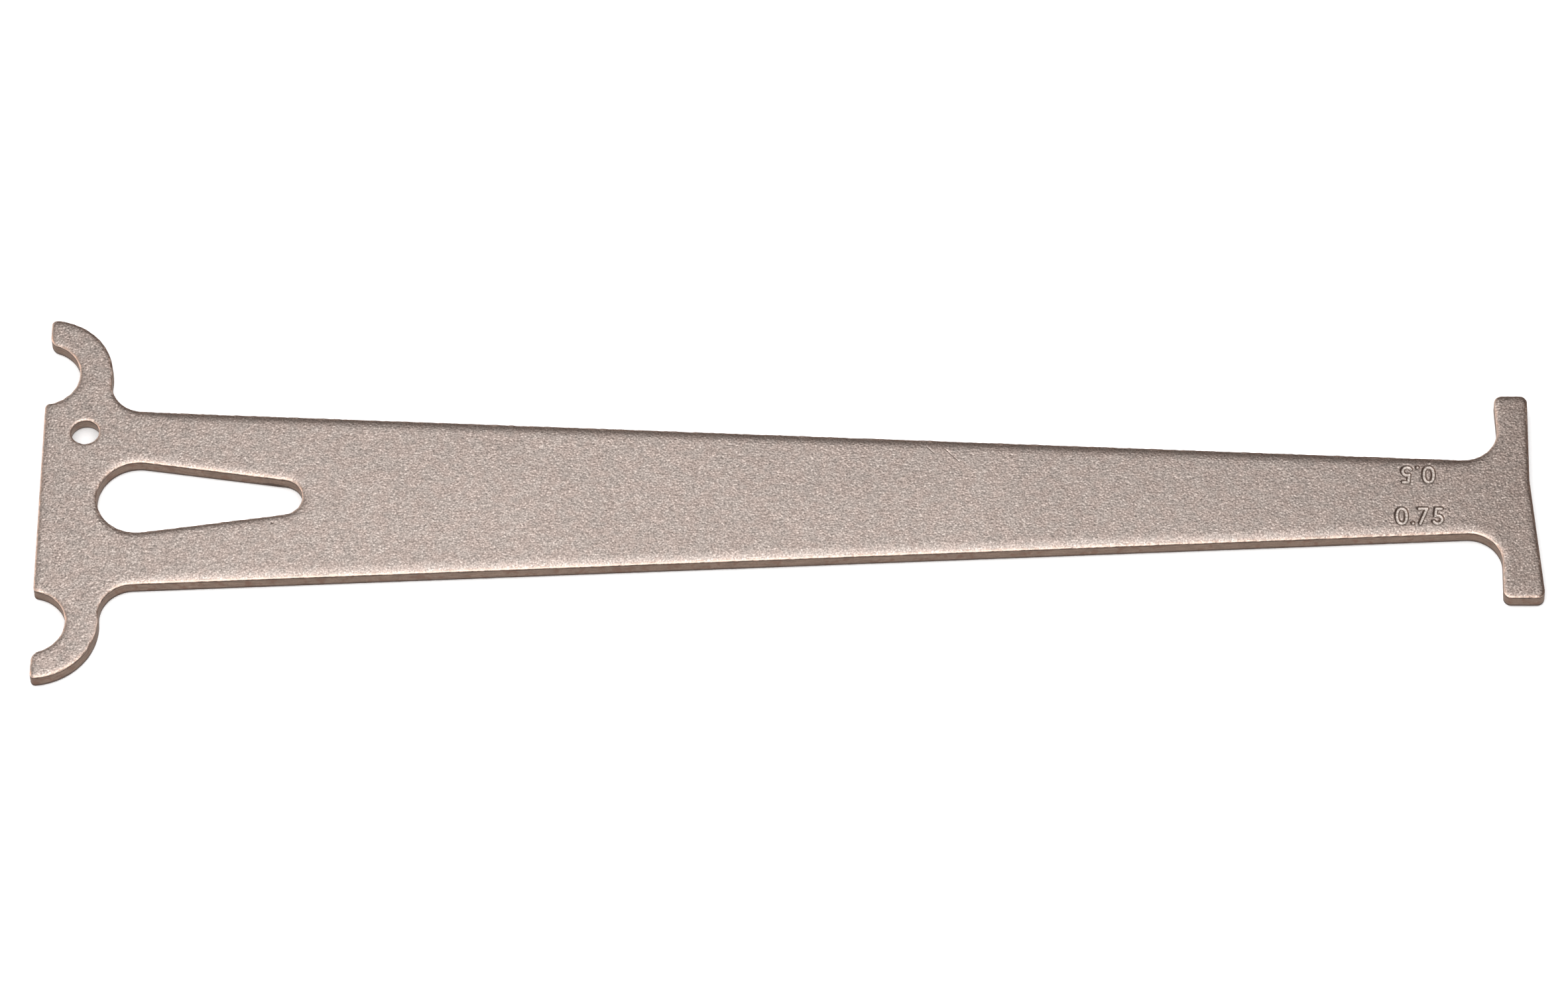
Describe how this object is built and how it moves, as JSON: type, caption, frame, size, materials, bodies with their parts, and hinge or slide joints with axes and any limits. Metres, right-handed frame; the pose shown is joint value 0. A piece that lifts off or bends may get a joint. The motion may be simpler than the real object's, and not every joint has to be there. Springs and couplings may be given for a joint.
{
  "type": "chain wear gauge",
  "caption": "Flat stamped steel plate with a tapering blade, a hook on each side of one end and a toothed cross bar at the other, for measuring how far a roller chain has stretched.",
  "frame": {"origin": "middle of the plate's bounding box, on the flat side that it lies on", "axes": "+X along the plate from the hooks to the toothed cross bar, +Y towards the square tooth and the hanging hole, +Z out of the stamped face with the rounded rim"},
  "size_m": [0.163, 0.0458, 0.0018],
  "materials": {
    "tumbled_steel": "tumbled sheet steel with a fine pebbled grain, a warm grey tone and darker sheared edges"
  },
  "bodies": {
    "root": {"gauge_plate": "tumbled_steel"}
  },
  "joints": []
}
